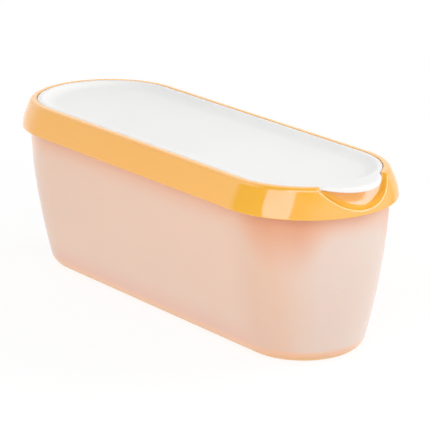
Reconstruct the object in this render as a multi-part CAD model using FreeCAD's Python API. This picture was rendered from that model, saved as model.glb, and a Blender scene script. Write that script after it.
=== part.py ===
"""Reusable ice cream tub: a long round-ended tub with a push-in lid.

The plan of every piece is an obround: two parallel sides joined by two half-round ends. A piece
is drawn once as a section, in terms of its offset from the tub's centre line and its height,
and that section is run along both sides and turned round both ends.

Millimetres. The origin is on the floor under the middle of the tub, X runs along its length,
and the lid's pull tab is at the +X end.
"""
import FreeCAD, Part
import math
import os

# ---- the tub as a whole ------------------------------------------------------------------
TUB_LENGTH = 292.0          # end to end, over the collar
TUB_WIDTH = 106.0           # side to side, over the collar
TUB_HEIGHT = 105.0          # floor to the collar's top

# ---- shell: the frosted outer wall -----------------------------------------------------------
TOP_DRAFT = 2.1             # degrees that the wall leans in, just under the collar
BASE_DRAFT = 14.0           # degrees that it leans in, just above the rounded base
BASE_ROUNDING = 9.0         # radius between the wall and the flat base
FOOT_HEIGHT = 3.3           # the non-slip foot is this much of the rounded base

# ---- collar: the glossy rim ----------------------------------------------------------------
COLLAR_DEPTH = 16.5         # top land to the bottom edge of the skirt
COLLAR_OVERHANG = 4.8       # how far the skirt stands out past the shell
LAND_WIDTH = 3.6            # top land between the lid and the slope, with its softened edge
LAND_ROUNDING = 2.0         # softened edge between the land and the slope
SLOPE_RUN = 5.4             # how far the slope reaches out, from the land to the skirt
SLOPE_LEAN = 2.1            # the slope's first reach outwards ...
SLOPE_DROP = 4.1            # ... and down, as it leaves the land
SKIRT_STRAIGHT = 5.8        # nearly upright stretch above the skirt's bottom edge
SKIRT_WALL = 2.3            # thickness of the skirt at its bottom edge
SKIRT_DROP = 1.7            # how far the skirt hangs below the collar's underside
SKIRT_ROUNDING = 0.6        # radius on the skirt's bottom edge
LEDGE_WIDTH = 3.2           # seat under the lid's edge
NECK_FIT = 0.2              # gap between the shell's neck and the collar's bore

# ---- lid: a soft push-in plate with a dished top -------------------------------------------
LID_THICKNESS = 6.0
LID_FIT = 0.2               # gap between the lid's edge and the collar
LID_EDGE_ROUNDING = 1.2
RIM_WIDTH = 2.8             # flat rim round the dish
RIM_ROUNDING = 1.2          # radius on the rim's inner edge
DISH_DEPTH = 3.0
DISH_SIDE_WIDTH = 9.2       # the dish's curved side, from the flat rim to the flat floor
DISH_END_RADIUS = 66.0      # flatter curve of the dish's end, in front of the tab
DISH_END_GAP = 1.3          # the dish's end stops this much short of the rim there
DISH_END_WIDTH = 5.0        # the dish's steeper end, from its top to the floor

# ---- pull tab, at the +X end of the lid ------------------------------------------------------
TAB_THICKNESS = 3.0         # in the middle
TAB_ROOT_THICKNESS = 1.4    # where its two edges leave the lid
TAB_SETBACK = 0.4           # the tip stays this much inside the skirt
TAB_ROOT_ANGLE = 35.0       # degrees each side of the tub's long axis where the tab leaves the lid
TAB_FLARE = 4.0             # the tab's edge first follows the lid's edge about this far
TAB_SHOULDER_OUT = 5.1      # the shoulder that the edge bends round, out from the lid's edge ...
TAB_SHOULDER_HALF = 16.0    # ... and across from the tub's long axis
TAB_TIP_HALF = 9.0          # half width of the blunt tip
TAB_ROOM = 0.3              # gap between the tab and the collar cut away under it

# ---- thumb scoop in the collar, under the tab ------------------------------------------------
SCOOP_HALF_WIDTH = 25.3     # at the collar's top
SCOOP_SILL = 3.2            # skirt left below the scoop
SCOOP_BACK_WALL = 1.2       # wall left between the scoop and the lid
SCOOP_FINGER_ROOM = 0.4     # the scoop's curve starts this far below the tab
SCOOP_FULLNESS = 0.55       # how fully the scoop's section curves: 0.55 is a quarter ellipse
SCOOP_LIP = 1.3             # softened edge where the scoop meets the slope
SCOOP_LIP_OVER = 0.09       # the lip's curve ends this much outside the slope, so that it cuts clean
SCOOP_RUN_OUT = 1.08        # the cut fades out this much past the scoop's half width
SCOOP_SECTIONS = 11         # sections that the scoop is lofted through

# ---- worked out ------------------------------------------------------------------------------
COLLAR_OFFSET = TUB_WIDTH / 2                       # every offset is from the centre line
END_X = (TUB_LENGTH - TUB_WIDTH) / 2                # where the centre line ends
SHELL_OFFSET = COLLAR_OFFSET - COLLAR_OVERHANG
SKIRT_BOTTOM = TUB_HEIGHT - COLLAR_DEPTH
COLLAR_UNDERSIDE = SKIRT_BOTTOM + SKIRT_DROP
LAND_OFFSET = COLLAR_OFFSET - SLOPE_RUN
REBATE_OFFSET = LAND_OFFSET - LAND_WIDTH
LID_OFFSET = REBATE_OFFSET - LID_FIT
LID_UNDERSIDE = TUB_HEIGHT - LID_THICKNESS
BORE_OFFSET = REBATE_OFFSET - LEDGE_WIDTH
NECK_OFFSET = BORE_OFFSET - NECK_FIT
SAME_HEIGHT = 0.01          # heights this close count as the same
CUT_CLEAR = 1.0             # how far a cutting shape runs past what it cuts
HALVINGS = 30               # steps of the search for a point on the slope
UP = FreeCAD.Vector(0, 0, 1)
MIDDLE = FreeCAD.Vector(0, 0, 0)
END_AXIS = FreeCAD.Vector(END_X, 0, 0)


def at(offset, height):
    """A point of a section, which is drawn upright at the +X end."""
    return FreeCAD.Vector(END_X + offset, 0, height)


def path(*points):
    """Straight edges from point to point."""
    return [Part.LineSegment(a, b).toShape() for a, b in zip(points, points[1:])]


def curve(*poles):
    """A Bezier edge: it leaves the first pole towards the second and arrives from the last but one."""
    bezier = Part.BezierCurve()
    bezier.setPoles(list(poles))
    return bezier.toShape()


def round_bend(centre, radius, start_angle, end_angle):
    """A round arc of a section, with its angles in degrees, anticlockwise from straight out."""
    middle_angle = (start_angle + end_angle) / 2
    spots = []
    for angle in (start_angle, middle_angle, end_angle):
        turn = math.radians(angle)
        spots.append(centre + FreeCAD.Vector(radius * math.cos(turn), 0, radius * math.sin(turn)))
    return Part.Arc(*spots).toShape()


def filled(edges):
    """The flat face inside a closed run of edges."""
    return Part.Face(Part.Wire(Part.__sortEdges__(edges)))


def obround(edges):
    """Run a section along both sides and turn it round both ends."""
    section = filled(edges)
    section.rotate(END_AXIS, UP, -90)
    end = section.revolve(END_AXIS, UP, 180)
    side = section.extrude(FreeCAD.Vector(-2 * END_X, 0, 0))
    pieces = [end, side]
    for piece in (end, side):
        opposite = piece.copy()
        opposite.rotate(MIDDLE, UP, 180)
        pieces.append(opposite)
    return pieces[0].multiFuse(pieces[1:]).removeSplitter()


def one_solid(shape):
    """The single solid of a shape that a cut or a fuse returned."""
    solids = shape.Solids
    if len(solids) != 1:
        raise ValueError("expected one solid, found %d" % len(solids))
    return solids[0]


def outer_form():
    """The tub below the collar: a wall whose lean grows downwards, and a rounded base."""
    lean = math.radians(BASE_DRAFT)
    wall_foot = BASE_ROUNDING * (1 - math.sin(lean))
    half_drop = (COLLAR_UNDERSIDE - wall_foot) / 2
    middle = SHELL_OFFSET - half_drop * math.tan(math.radians(TOP_DRAFT))
    low = middle - half_drop * math.tan(lean)
    centre = at(low - BASE_ROUNDING * math.cos(lean), BASE_ROUNDING)
    flat = low - BASE_ROUNDING * math.cos(lean)
    edges = path(at(flat, 0), at(0, 0), at(0, LID_UNDERSIDE), at(NECK_OFFSET, LID_UNDERSIDE),
                 at(NECK_OFFSET, COLLAR_UNDERSIDE), at(SHELL_OFFSET, COLLAR_UNDERSIDE))
    edges.append(curve(at(SHELL_OFFSET, COLLAR_UNDERSIDE), at(middle, COLLAR_UNDERSIDE - half_drop),
                       at(low, wall_foot)))
    edges.append(round_bend(centre, BASE_ROUNDING, -BASE_DRAFT, -90))
    return obround(edges)


def slab(bottom, top):
    """Everything between two heights."""
    return Part.makeBox(2 * TUB_LENGTH, 2 * TUB_WIDTH, top - bottom,
                        FreeCAD.Vector(-TUB_LENGTH, -TUB_WIDTH, bottom))


def make_shell():
    return one_solid(outer_form().common(slab(FOOT_HEIGHT, TUB_HEIGHT)))


def make_foot():
    """The soft foot is flush with the shell and carries the rounded base down to the floor."""
    return one_solid(outer_form().common(slab(-CUT_CLEAR, FOOT_HEIGHT)))


def slope_curve():
    """The collar's outer slope, from just below its top land to its skirt."""
    share = LAND_ROUNDING / math.hypot(SLOPE_LEAN, SLOPE_DROP)
    return curve(at(LAND_OFFSET + share * SLOPE_LEAN, TUB_HEIGHT - share * SLOPE_DROP),
                 at(LAND_OFFSET + SLOPE_LEAN, TUB_HEIGHT - SLOPE_DROP),
                 at(COLLAR_OFFSET, SKIRT_BOTTOM + SKIRT_STRAIGHT),
                 at(COLLAR_OFFSET, SKIRT_BOTTOM + SKIRT_ROUNDING))


def slope_offset(height):
    """How far out the collar's slope is at a height."""
    slope = slope_curve()
    first, last = slope.ParameterRange
    top = slope.valueAt(first)
    if height >= top.z:
        return top.x - END_X - (height - top.z) * SLOPE_LEAN / SLOPE_DROP
    for halving in range(HALVINGS):
        middle = (first + last) / 2
        if slope.valueAt(middle).z > height:
            first = middle
        else:
            last = middle
    return slope.valueAt(last).x - END_X


def make_ring():
    """The collar before its thumb scoop is cut."""
    slope = slope_curve()
    slope_start = slope.valueAt(slope.FirstParameter)
    skirt_edge = COLLAR_OFFSET - SKIRT_ROUNDING
    skirt_inside = COLLAR_OFFSET - SKIRT_WALL
    edges = [slope]
    land_edge = at(LAND_OFFSET - LAND_ROUNDING, TUB_HEIGHT)
    edges.append(curve(land_edge, at(LAND_OFFSET, TUB_HEIGHT), slope_start))
    edges.append(round_bend(at(skirt_edge, SKIRT_BOTTOM + SKIRT_ROUNDING), SKIRT_ROUNDING, 0, -90))
    edges += path(at(skirt_edge, SKIRT_BOTTOM), at(skirt_inside, SKIRT_BOTTOM),
                  at(skirt_inside, COLLAR_UNDERSIDE), at(BORE_OFFSET, COLLAR_UNDERSIDE),
                  at(BORE_OFFSET, LID_UNDERSIDE), at(REBATE_OFFSET, LID_UNDERSIDE),
                  at(REBATE_OFFSET, TUB_HEIGHT), land_edge)
    return obround(edges)


def scoop_section(angle):
    """Section of the thumb scoop at an angle off the tub's long axis.

    It is deepest at 0 and fades out in a parabola to both sides. From a back wall it curves down
    and out to a floor, and rolls over a soft lip into the collar's slope.
    """
    widest = math.asin(SCOOP_HALF_WIDTH / LAND_OFFSET)
    share = 1 - (math.sin(angle) / math.sin(widest)) ** 2
    floor = TUB_HEIGHT - (COLLAR_DEPTH - SCOOP_SILL) * share
    start = TUB_HEIGHT - (TAB_THICKNESS + SCOOP_FINGER_ROOM) * share
    back = REBATE_OFFSET + SCOOP_BACK_WALL
    rim = slope_offset(floor)
    beyond = COLLAR_OFFSET + SCOOP_LIP
    above = TUB_HEIGHT + COLLAR_DEPTH
    lip_end = at(slope_offset(floor - SCOOP_LIP) + SCOOP_LIP_OVER, floor - SCOOP_LIP)
    edges = [curve(at(back, start), at(back, start + SCOOP_FULLNESS * (floor - start)),
                   at(rim - SCOOP_LIP - SCOOP_FULLNESS * (rim - SCOOP_LIP - back), floor),
                   at(rim - SCOOP_LIP, floor))]
    edges.append(curve(at(rim - SCOOP_LIP, floor), at(rim - SCOOP_LIP_OVER, floor), lip_end))
    edges += path(lip_end, at(beyond, floor - SCOOP_LIP), at(beyond, above), at(back, above),
                  at(back, start))
    section = Part.Wire(Part.__sortEdges__(edges))
    section.rotate(END_AXIS, UP, math.degrees(angle))
    return section


def make_scoop():
    widest = math.asin(SCOOP_RUN_OUT * SCOOP_HALF_WIDTH / LAND_OFFSET)
    sections = []
    for step in range(SCOOP_SECTIONS):
        sections.append(scoop_section(widest * (2 * step / (SCOOP_SECTIONS - 1) - 1)))
    return Part.makeLoft(sections, True, False)


def plan_point(out, across):
    """A point of a plan at the +X end, at height 0."""
    return FreeCAD.Vector(END_X + out, across, 0)


def tab_corner(room, side):
    """Where the tab's edge leaves the lid's round end: side is 1 or -1."""
    turn = math.radians(TAB_ROOT_ANGLE)
    edge = LID_OFFSET + room
    return plan_point(edge * math.cos(turn), side * edge * math.sin(turn))


def tab_edges(room):
    """The pull tab's two edges, grown by a gap: off the lid's round end, round a shoulder each and
    together at the tip."""
    turn = math.radians(TAB_ROOT_ANGLE)
    tip = COLLAR_OFFSET - TAB_SETBACK + room
    edges = []
    for side in (-1, 1):
        root = tab_corner(room, side)
        flare = root + FreeCAD.Vector(TAB_FLARE * math.sin(turn), -side * TAB_FLARE * math.cos(turn), 0)
        shoulder = plan_point(LID_OFFSET + TAB_SHOULDER_OUT + room, side * (TAB_SHOULDER_HALF + room))
        blunt = plan_point(tip, side * (TAB_TIP_HALF + room))
        edges.append(curve(root, flare, shoulder, blunt, plan_point(tip, 0)))
    return edges


def raised(plan_edges, bottom, top):
    """A plan outline filled and extruded between two heights."""
    plan = filled(plan_edges)
    plan.translate(UP * bottom)
    return plan.extrude(UP * (top - bottom))


def tab_arch(room):
    """Everything above the tab's arched underside, lowered by a gap."""
    root = tab_corner(0, 1)
    low = TUB_HEIGHT - TAB_ROOT_THICKNESS - room
    pull = TUB_HEIGHT - 2 * TAB_THICKNESS + TAB_ROOT_THICKNESS - room
    above = TUB_HEIGHT + CUT_CLEAR

    def spot(across, height):
        return FreeCAD.Vector(0, across, height)

    edges = [curve(spot(-root.y, low), spot(0, pull), spot(root.y, low))]
    edges += path(spot(root.y, low), spot(TUB_WIDTH, low), spot(TUB_WIDTH, above),
                  spot(-TUB_WIDTH, above), spot(-TUB_WIDTH, low), spot(-root.y, low))
    arch = filled(edges)
    arch.translate(FreeCAD.Vector(-TUB_LENGTH, 0, 0))
    return arch.extrude(FreeCAD.Vector(2 * TUB_LENGTH, 0, 0))


def tab_space():
    """What the collar leaves free for the pull tab."""
    near, far = tab_corner(TAB_ROOM, -1), tab_corner(TAB_ROOM, 1)
    inner = near.x - END_X - RIM_WIDTH
    edges = tab_edges(TAB_ROOM) + path(near, plan_point(inner, near.y), plan_point(inner, far.y), far)
    return raised(edges, LID_UNDERSIDE, TUB_HEIGHT + CUT_CLEAR).common(tab_arch(TAB_ROOM))


def make_collar():
    return one_solid(make_ring().cut(make_scoop()).cut(tab_space()))


def lid_outline():
    """Plan of the lid's top: an obround that swells into the pull tab at its +X end."""
    half_turn = math.radians((90 + TAB_ROOT_ANGLE) / 2)
    edges = tab_edges(0)
    for side in (-1, 1):
        middle = plan_point(LID_OFFSET * math.cos(half_turn), side * LID_OFFSET * math.sin(half_turn))
        side_end = plan_point(0, side * LID_OFFSET)
        edges.append(Part.Arc(tab_corner(0, side), middle, side_end).toShape())
        edges += path(side_end, plan_point(-2 * END_X, side * LID_OFFSET))
    edges.append(Part.Arc(plan_point(-2 * END_X, LID_OFFSET), plan_point(-2 * END_X - LID_OFFSET, 0),
                          plan_point(-2 * END_X, -LID_OFFSET)).toShape())
    return edges


def edges_at(shape, height):
    """The edges that lie flat at a height."""
    found = []
    for edge in shape.Edges:
        box = edge.BoundBox
        if abs(box.ZMin - height) < SAME_HEIGHT and abs(box.ZMax - height) < SAME_HEIGHT:
            found.append(edge)
    return found


def dish_section(axis, reach, side_width):
    """Section of a dish from its axis out: a flat floor, a side that curves up and a soft rim."""
    floor = TUB_HEIGHT - DISH_DEPTH
    above = TUB_HEIGHT + DISH_DEPTH
    radius = (side_width ** 2 / DISH_DEPTH + DISH_DEPTH) / 2 - RIM_ROUNDING
    hollow = at(reach - side_width, floor + radius)
    crest = at(reach, TUB_HEIGHT - RIM_ROUNDING)
    tilt = math.degrees(math.atan2(crest.z - hollow.z, crest.x - hollow.x))
    edges = [round_bend(hollow, radius, -90, tilt), round_bend(crest, RIM_ROUNDING, 180 + tilt, 90)]
    edges += path(at(reach, TUB_HEIGHT), at(reach, above), at(axis, above), at(axis, floor),
                  at(reach - side_width, floor))
    return edges


def make_dish():
    """The hollow in the lid's top. In front of the tab it ends in a flatter, steeper curve."""
    rim = LID_OFFSET - RIM_WIDTH
    end_reach = rim - DISH_END_GAP
    end_axis = end_reach - DISH_END_RADIUS
    end = filled(dish_section(end_axis, end_reach, DISH_END_WIDTH)).revolve(at(end_axis, 0), UP, 360)
    far_from_end = slab(TUB_HEIGHT - DISH_DEPTH, TUB_HEIGHT + DISH_DEPTH)
    far_from_end.translate(FreeCAD.Vector(END_X + end_axis - TUB_LENGTH, 0, 0))
    return obround(dish_section(0, rim, DISH_SIDE_WIDTH)).common(end.fuse(far_from_end))


def make_lid():
    shoulder = TUB_HEIGHT - LID_EDGE_ROUNDING
    edges = path(at(0, LID_UNDERSIDE), at(LID_OFFSET, LID_UNDERSIDE), at(LID_OFFSET, shoulder),
                 at(0, shoulder), at(0, LID_UNDERSIDE))
    top = raised(lid_outline(), LID_UNDERSIDE, TUB_HEIGHT)
    top = top.makeFillet(LID_EDGE_ROUNDING, edges_at(top, TUB_HEIGHT)).common(tab_arch(0))
    plate = top.fuse(obround(edges)).removeSplitter()
    return one_solid(plate.cut(make_dish()))


NODES = {
    "tub_shell": make_shell,
    "base_foot": make_foot,
    "collar": make_collar,
    "lid": make_lid,
}
os.makedirs("parts", exist_ok=True)
for name, make in NODES.items():
    solid = make()
    solid.exportStep("parts/" + name + ".step")
    print(name, solid.isValid(), round(solid.Volume), len(solid.Faces))
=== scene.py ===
"""A reusable ice cream tub: frosted peach shell, glossy orange collar, white push-in lid."""

import math

import bpy
from mathutils import Matrix, Vector


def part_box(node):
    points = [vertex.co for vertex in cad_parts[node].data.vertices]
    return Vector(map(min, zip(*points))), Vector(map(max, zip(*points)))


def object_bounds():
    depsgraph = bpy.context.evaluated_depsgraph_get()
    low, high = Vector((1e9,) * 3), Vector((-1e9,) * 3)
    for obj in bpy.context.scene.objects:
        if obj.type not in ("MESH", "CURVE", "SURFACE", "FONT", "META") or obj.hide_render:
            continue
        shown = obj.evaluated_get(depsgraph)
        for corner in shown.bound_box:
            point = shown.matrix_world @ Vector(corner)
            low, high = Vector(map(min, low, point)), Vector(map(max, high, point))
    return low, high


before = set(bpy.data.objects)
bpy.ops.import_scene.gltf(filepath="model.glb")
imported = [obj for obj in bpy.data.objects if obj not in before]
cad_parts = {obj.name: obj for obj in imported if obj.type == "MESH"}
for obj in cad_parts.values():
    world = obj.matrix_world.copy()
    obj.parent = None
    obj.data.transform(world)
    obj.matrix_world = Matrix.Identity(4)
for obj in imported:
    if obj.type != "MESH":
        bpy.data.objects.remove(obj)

CAD_BOX = [list(corner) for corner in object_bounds()]

# ---- places on the tub, in metres, from the parts in model.glb --------------------------------
END_X = CAD_BOX[1][0] - CAD_BOX[1][1]       # the axis that the tub's round end turns about
COLLAR_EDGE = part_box("collar")[0][2]        # the height of the collar's lower edge
SHELL_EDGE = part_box("tub_shell")[0][2]      # the height of the shell's lower edge

# ---- camera: where it stands, looks and leans, in metres and degrees --------------------------
CAMERA_PIVOT = Vector((0, 0, 0.05243))
CAMERA_AZIMUTH = 52.392
CAMERA_ELEVATION = 17.286
CAMERA_DISTANCE = 1.38923
CAMERA_TARGET = Vector((0.01343, 0, 0.05571))
CAMERA_ROLL = 0.2523
CAMERA_LENS = 197.43                        # lens and sensor are in millimetres
SENSOR = 36.0
CLIP_START = 0.01

# ---- lamps: directions from the tub in degrees, anticlockwise from +X, and sizes in metres ----
LAMP_DISTANCE = 1.6
TUB_AIM = Vector((0.05, 0, 0.07))
FAR_END_AIM = Vector((-0.08, 0, 0.07))
LAMPS = {
    "strip_box": dict(azimuth=-69.9, elevation=15, width=0.98, height=1.84, brightness=2.25, lean=-3),
    "right_panel": dict(azimuth=62, elevation=28, width=1.0, height=1.5, brightness=2.8),
    "top_box": dict(azimuth=-38, elevation=52, width=1.07, height=0.8, brightness=2.45),
    "left_box": dict(azimuth=-122, elevation=50, width=0.7, height=0.5, brightness=1.1,
                     aim=FAR_END_AIM),
}

# ---- room: dim all round, with lighter parts that fade out to their sides ---------------------
ROOM_LEVEL = 0.08
WHITE = 1.0                                 # what the camera sees behind the tub
# Each lighter part has the azimuth of its middle, the cosines of the angles from there at which
# it begins and is full, the light that it gives the tub, and its brightness in reflections.
LIGHTER_PARTS = (
    (163.0, 0.34, 0.50, 0.82, 0.82),        # the white backdrop behind the tub
    (163.0, 0.62, 0.95, 0.45, 0.45),        # its brighter middle
    (32.0, 0.25, 0.85, 0.84, 1.05),         # the room to the right of the camera
    (306.0, 0.72, 0.90, 0.38, 0.38),        # the room just left of the camera
)

# ---- table top --------------------------------------------------------------------------------
FLOOR_RADIUS = 0.33
FLOOR_STEPS = 96
FLOOR_COLOUR = (0.15, 0.15, 0.15, 1)        # the part of its white that shows the shadow
FLOOR_GLOW = 0.69                           # the rest of its white, as even light on the tub
FLOOR_GLOW_SEEN = 0.86                      # the same, as the camera, gloss and clear things see it

# ---- shell colour: heights and depths in metres -----------------------------------------------
# Painted shade under the collar's overhang, partly the orange inner tub seen through the frosted wall:
SHADE_TOP = COLLAR_EDGE + 0.0035            # the deep colour is full here, just inside the collar,
SIDE_SHADE_DEPTH = 0.0165                   # and fades out this far below the collar's edge,
SHOULDER_SHADE_DEPTH = 0.0385               # or this far where the side turns into the round end
LOW_SHADE_TOP = SHELL_EDGE + 0.0187         # painted shade, a warmer and darker colour, begins here above the foot
LOW_SHADE_FULL = SHELL_EDGE + 0.0027
LOW_SHADE_SHARE = 0.8
PAINTED_GLOW_TOP = SHELL_EDGE + 0.0052        # a painted glow in the foot's orange shows below here
PAINTED_GLOW_FULL = SHELL_EDGE + 0.0012
CLOUD_SHARE = 0.25
# Round the end these count from 1 at its tip to 0 where the straight sides begin, and on below 0
# along them. Each is where a change of colour begins and where it is full.
SIDE_TO_END = (-0.4, 0.3)
# Painted sheen: the tip of the round end is painted paler, standing in for lamp and backdrop light
# falling at a slant.
PAINTED_SHEEN_TIP = (0.47, 1.0)
SHOULDER_FROM_SIDE = (-0.1, 0.5)
SHOULDER_FROM_TIP = (0.7, 1.02)
LOW_SHADE_ROUND_END = (0.3, -0.1)


def direction(azimuth, elevation=0.0):
    """The unit vector at so many degrees anticlockwise from +X, and so many up."""
    turn, lift = math.radians(azimuth), math.radians(elevation)
    return Vector((math.cos(turn) * math.cos(lift), math.sin(turn) * math.cos(lift), math.sin(lift)))


def make_camera():
    """A long lens, from above the tab's end and to the side of it. Its azimuth starts at -Y."""
    place = CAMERA_PIVOT + CAMERA_DISTANCE * direction(CAMERA_AZIMUTH - 90, CAMERA_ELEVATION)
    forward = (CAMERA_TARGET - place).normalized()
    right = forward.cross(Vector((0, 0, 1))).normalized()
    up = right.cross(forward)
    roll = math.radians(CAMERA_ROLL)
    leant_right = right * math.cos(roll) + up * math.sin(roll)
    leant_up = up * math.cos(roll) - right * math.sin(roll)
    data = bpy.data.cameras.new("camera")
    data.lens = CAMERA_LENS
    data.sensor_width = SENSOR
    data.clip_start = CLIP_START
    camera = bpy.data.objects.new("camera", data)
    rotation = Matrix((leant_right, leant_up, -forward)).transposed().to_4x4()
    camera.matrix_world = Matrix.Translation(place) @ rotation
    bpy.context.collection.objects.link(camera)
    bpy.context.scene.camera = camera


def make_lamp(name, azimuth, elevation, width, height, brightness, lean=0.0, aim=TUB_AIM):
    """A rectangular lamp that faces the tub. Its level is given as the brightness of its face."""
    out = direction(azimuth, elevation)
    data = bpy.data.lights.new(name, "AREA")
    data.shape = "RECTANGLE"
    data.size = width
    data.size_y = height
    data.energy = brightness * width * height * math.pi
    lamp = bpy.data.objects.new(name, data)
    facing = out.to_track_quat("Z", "Y").to_matrix().to_4x4()
    leant = facing @ Matrix.Rotation(math.radians(lean), 4, "Z")
    lamp.matrix_world = Matrix.Translation(aim + LAMP_DISTANCE * out) @ leant
    lamp.visible_camera = False
    bpy.context.collection.objects.link(lamp)


class Nodes:
    """Adds nodes to a material or world and joins them with few words."""

    def __init__(self, tree):
        self.tree = tree
        tree.nodes.clear()

    def add(self, kind, inputs=None, **settings):
        node = self.tree.nodes.new(kind)
        for key, value in settings.items():
            setattr(node, key, value)
        for key, value in (inputs or {}).items():
            socket = node.inputs[key]
            if isinstance(value, bpy.types.NodeSocket):
                self.tree.links.new(value, socket)
            else:
                socket.default_value = value
        return node

    def math(self, operation, first, second=0.0):
        return self.add("ShaderNodeMath", {0: first, 1: second}, operation=operation).outputs[0]

    def ramp(self, value, low, high, low_out=0.0, high_out=1.0):
        """Goes softly from low_out to high_out while value goes from low to high."""
        return self.add("ShaderNodeMapRange", {"Value": value, "From Min": low, "From Max": high,
                                               "To Min": low_out, "To Max": high_out},
                        interpolation_type="SMOOTHSTEP").outputs["Result"]

    def blend(self, share, first, second):
        """A number between two others."""
        return self.add("ShaderNodeMix", {0: share, 2: first, 3: second}, data_type="FLOAT").outputs[0]

    def mix(self, share, first, second):
        """A colour between two others."""
        return self.add("ShaderNodeMix", {0: share, 6: first, 7: second}, data_type="RGBA").outputs[2]

    def noise(self, scale, detail=2.0):
        place = self.add("ShaderNodeTexCoord").outputs["Object"]
        return self.add("ShaderNodeTexNoise", {"Vector": place, "Scale": scale, "Detail": detail,
                                               "Roughness": 0.5}).outputs["Fac"]

    def bump(self, height, strength, distance):
        return self.add("ShaderNodeBump", {"Height": height, "Strength": strength,
                                           "Distance": distance}).outputs[0]


def srgb(red, green, blue):
    """A colour as written on screen, 0 to 255, turned into light."""
    def channel(value):
        value /= 255
        return value / 12.92 if value <= 0.04045 else ((value + 0.055) / 1.055) ** 2.4
    return (channel(red), channel(green), channel(blue), 1.0)


def new_material(name):
    material = bpy.data.materials.new(name)
    material.use_nodes = True
    return material, Nodes(material.node_tree)


def finish_material(n, shader):
    n.add("ShaderNodeOutputMaterial", {"Surface": shader.outputs[0]})


def make_world():
    """White to the camera and through clear things. The tub is lit by, and its gloss shows, a white
    backdrop behind it, a lighter room on both sides of the camera, and a dim room elsewhere."""
    world = bpy.data.worlds.new("studio")
    bpy.context.scene.world = world
    world.use_nodes = True
    n = Nodes(world.node_tree)
    path = n.add("ShaderNodeLightPath").outputs
    where = n.add("ShaderNodeTexCoord").outputs["Generated"]
    x, y, _ = n.add("ShaderNodeSeparateXYZ", {0: where}).outputs
    level = ROOM_LEVEL
    for azimuth, begins, full, given, reflected in LIGHTER_PARTS:
        middle = direction(azimuth)
        towards = n.math("ADD", n.math("MULTIPLY", x, middle.x), n.math("MULTIPLY", y, middle.y))
        brightness = n.blend(path["Is Glossy Ray"], given, reflected)
        level = n.math("ADD", level, n.ramp(towards, begins, full, 0.0, brightness))
    seen = n.math("MAXIMUM", path["Is Camera Ray"], path["Is Transmission Ray"])
    strength = n.blend(seen, level, WHITE)
    background = n.add("ShaderNodeBackground", {"Color": (1, 1, 1, 1), "Strength": strength})
    n.add("ShaderNodeOutputWorld", {"Surface": background.outputs[0]})


def make_floor():
    """A round white table top, so small that the collar reflects the room past its edge."""
    ring = [FLOOR_RADIUS * direction(360 * step / FLOOR_STEPS) for step in range(FLOOR_STEPS)]
    mesh = bpy.data.meshes.new("floor")
    mesh.from_pydata(ring, [], [list(range(FLOOR_STEPS))])
    floor = bpy.data.objects.new("floor", mesh)
    bpy.context.collection.objects.link(floor)
    material, n = new_material("floor_white")
    path = n.add("ShaderNodeLightPath").outputs
    seen = n.math("MAXIMUM", path["Is Camera Ray"],
                  n.math("MAXIMUM", path["Is Glossy Ray"], path["Is Transmission Ray"]))
    diffuse = n.add("ShaderNodeBsdfDiffuse", {"Color": FLOOR_COLOUR})
    glow = n.add("ShaderNodeEmission", {"Color": (1, 1, 1, 1),
                                        "Strength": n.blend(seen, FLOOR_GLOW, FLOOR_GLOW_SEEN)})
    finish_material(n, n.add("ShaderNodeAddShader", {0: diffuse.outputs[0], 1: glow.outputs[0]}))
    mesh.materials.append(material)


def collar_material():
    """Glossy injection-moulded plastic, a warm orange yellow, with a faint orange peel."""
    material, n = new_material("glossy_collar")
    cloud = n.ramp(n.noise(9.0), 0.35, 0.65)
    colour = n.mix(cloud, srgb(253, 186, 61), srgb(253, 189, 66))
    peel = n.noise(420.0, 3.0)
    rough = n.ramp(n.noise(60.0), 0.3, 0.7, 0.07, 0.10)
    shader = n.add("ShaderNodeBsdfPrincipled",
                   {"Base Color": colour, "Roughness": rough, "IOR": 1.6,
                    "Specular IOR Level": 1.0, "Specular Tint": (0.8, 0.62, 1.0, 1.0),
                    "Subsurface Weight": 0.12, "Subsurface Radius": (1.0, 0.5, 0.2),
                    "Subsurface Scale": 0.004, "Normal": n.bump(peel, 0.03, 0.0004)})
    finish_material(n, shader)
    return material


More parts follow.
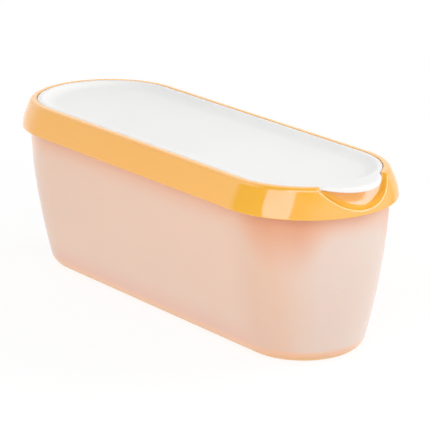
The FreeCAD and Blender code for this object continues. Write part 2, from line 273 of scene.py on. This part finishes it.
def shell_colour(n):
    """Peach, with a painted pale sheen round the tab's end, deeper painted shade under the collar
    (partly the orange inside showing through), warmer painted shade above the foot and a painted glow
    at its edge.
    """
    side, end = srgb(236, 199, 175), srgb(229, 190, 164)
    # tip is the painted sheen's pale colour; cloudy is a random tone.
    tip, cloudy = srgb(228, 208, 196), srgb(230, 191, 170)
    # Painted shade under the collar, partly the orange inside showing through, on the side and on the
    # shoulder.
    side_shade, shoulder_shade = srgb(243, 181, 145), srgb(225, 154, 111)
    # Painted shade above the foot, and a painted glow in the foot's orange at the bottom edge.
    low_shade, painted_foot_glow = srgb(236, 184, 162), srgb(253, 187, 142)

    place = n.add("ShaderNodeTexCoord").outputs["Object"]
    x, y, height = n.add("ShaderNodeSeparateXYZ", {0: place}).outputs
    past_end = n.math("SUBTRACT", x, END_X)
    reach = n.math("SQRT", n.math("ADD", n.math("MULTIPLY", past_end, past_end),
                                  n.math("MULTIPLY", y, y)))
    ahead = n.math("DIVIDE", past_end, reach)
    colour = n.mix(n.ramp(ahead, *SIDE_TO_END), side, end)
    # Painted sheen: paler towards the tip of the round end.
    colour = n.mix(n.ramp(ahead, *PAINTED_SHEEN_TIP), colour, tip)
    cloud = n.ramp(n.noise(14.0), 0.3, 0.7)
    colour = n.mix(n.math("MULTIPLY", cloud, CLOUD_SHARE), colour, cloudy)

    # Painted shade under the collar, reaching lower on the shoulder; partly the orange inside showing
    # through.
    shoulder = n.math("SUBTRACT", n.ramp(ahead, *SHOULDER_FROM_SIDE), n.ramp(ahead, *SHOULDER_FROM_TIP))
    shade_end = n.ramp(shoulder, 0.0, 1.0, COLLAR_EDGE - SIDE_SHADE_DEPTH,
                       COLLAR_EDGE - SHOULDER_SHADE_DEPTH)
    shade = n.mix(shoulder, side_shade, shoulder_shade)
    colour = n.mix(n.ramp(height, shade_end, SHADE_TOP), colour, shade)

    # Painted shade low on the straight sides, above the foot.
    low = n.math("MULTIPLY", n.ramp(height, LOW_SHADE_TOP, LOW_SHADE_FULL),
                 n.ramp(ahead, *LOW_SHADE_ROUND_END))
    colour = n.mix(n.math("MULTIPLY", low, LOW_SHADE_SHARE), colour, low_shade)
    # Painted glow: the shell's bottom edge is painted bright in the foot's orange.
    return n.mix(n.ramp(height, PAINTED_GLOW_TOP, PAINTED_GLOW_FULL), colour, painted_foot_glow)


def shell_material():
    """Frosted plastic: a fine grain under a soft sheen, with soft light inside."""
    material, n = new_material("frosted_shell")
    shader = n.add("ShaderNodeBsdfPrincipled",
                   {"Base Color": shell_colour(n), "Roughness": 0.45, "IOR": 1.5,
                    "Coat Weight": 1.0, "Coat Roughness": 0.35, "Coat IOR": 1.5,
                    "Subsurface Weight": 0.35, "Subsurface Radius": (1.0, 0.6, 0.4),
                    "Subsurface Scale": 0.008, "Normal": n.bump(n.noise(1800.0), 0.12, 0.0003)})
    finish_material(n, shader)
    return material


def lid_material():
    """Soft white plastic with a fine matte grain."""
    material, n = new_material("soft_lid")
    cloud = n.ramp(n.noise(11.0), 0.3, 0.7)
    colour = n.mix(cloud, srgb(239, 239, 238), srgb(242, 242, 241))
    shader = n.add("ShaderNodeBsdfPrincipled",
                   {"Base Color": colour, "Roughness": 0.5, "IOR": 1.45, "Specular IOR Level": 0.2,
                    "Subsurface Weight": 0.1, "Subsurface Radius": (1.0, 1.0, 1.0),
                    "Subsurface Scale": 0.003, "Normal": n.bump(n.noise(1500.0), 0.08, 0.0002)})
    finish_material(n, shader)
    return material


def foot_material():
    """Soft orange non-slip rubber."""
    material, n = new_material("foot_rubber")
    cloud = n.ramp(n.noise(30.0), 0.3, 0.7)
    colour = n.mix(cloud, srgb(252, 190, 128), srgb(253, 196, 136))
    shader = n.add("ShaderNodeBsdfPrincipled",
                   {"Base Color": colour, "Roughness": 0.45, "IOR": 1.45,
                    "Subsurface Weight": 0.2, "Subsurface Radius": (1.0, 0.5, 0.25),
                    "Subsurface Scale": 0.003, "Normal": n.bump(n.noise(900.0), 0.1, 0.0002)})
    finish_material(n, shader)
    return material


def dress(node, material):
    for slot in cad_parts[node].material_slots:
        slot.material = material


bpy.context.scene.view_settings.view_transform = "Standard"
make_camera()
make_world()
make_floor()
for lamp_name, lamp_facts in LAMPS.items():
    make_lamp(lamp_name, **lamp_facts)
dress("collar", collar_material())
dress("tub_shell", shell_material())
dress("lid", lid_material())
dress("base_foot", foot_material())
